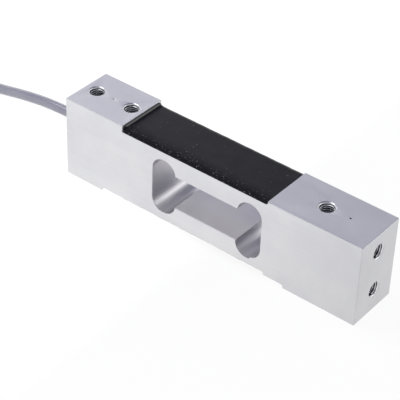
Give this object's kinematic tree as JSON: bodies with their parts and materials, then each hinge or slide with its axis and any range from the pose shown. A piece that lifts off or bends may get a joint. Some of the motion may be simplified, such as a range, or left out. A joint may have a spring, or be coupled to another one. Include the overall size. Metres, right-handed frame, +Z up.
{
  "type": "single point load cell",
  "caption": "Single point load cell: a milled aluminium binocular beam with tapped holes, potted strain gauges and a grey cable with bare lead ends.",
  "frame": {"origin": "middle of the beam's footprint, on the plane of its mounting pad", "axes": "+X from the cable end to the load end, +Y across the beam, +Z up"},
  "size_m": [0.3321, 0.0416, 0.04],
  "materials": {
    "beam_aluminium": "satin, milled and clear anodised",
    "potting_resin": "soft black resin, satin",
    "cable_jacket": "matt grey jacket",
    "core_red": "matt insulation",
    "core_black": "matt insulation",
    "core_green": "matt insulation",
    "core_white": "matt insulation",
    "enamelled_wire": "enamelled copper",
    "seal_rubber": "soft sealant",
    "shield_copper": "folded copper braid",
    "board_laminate": "laminate",
    "solder": "soft solder",
    "resistor_body": "chip",
    "gauge_film": "polyimide film",
    "gauge_foil": "constantan foil"
  },
  "bodies": {
    "root": {"beam_body": "beam_aluminium", "core_red": "core_red", "core_black": "core_black", "core_green": "core_green", "core_white": "core_white", "link_wires": "enamelled_wire", "cable_jacket_end": "cable_jacket", "cable_seal": "seal_rubber", "shield_ring": "shield_copper", "terminal_board": "board_laminate", "lower_board": "board_laminate", "top_jumper_wires": "enamelled_wire", "bottom_jumper_wires": "enamelled_wire", "top_solder": "solder", "bottom_solder": "solder", "span_resistor": "resistor_body", "zero_resistor": "resistor_body", "top_potting": "potting_resin", "bottom_potting": "potting_resin", "cable": "cable_jacket", "cable_coil": "cable_jacket", "lead_red": "core_red", "lead_black": "core_black", "lead_green": "core_green", "lead_white": "core_white", "gauge_film_top_cable_end": "gauge_film", "gauge_grid_top_cable_end": "gauge_foil", "gauge_film_top_load_end": "gauge_film", "gauge_grid_top_load_end": "gauge_foil", "gauge_film_bottom_cable_end": "gauge_film", "gauge_grid_bottom_cable_end": "gauge_foil", "gauge_film_bottom_load_end": "gauge_film", "gauge_grid_bottom_load_end": "gauge_foil"}
  },
  "joints": []
}
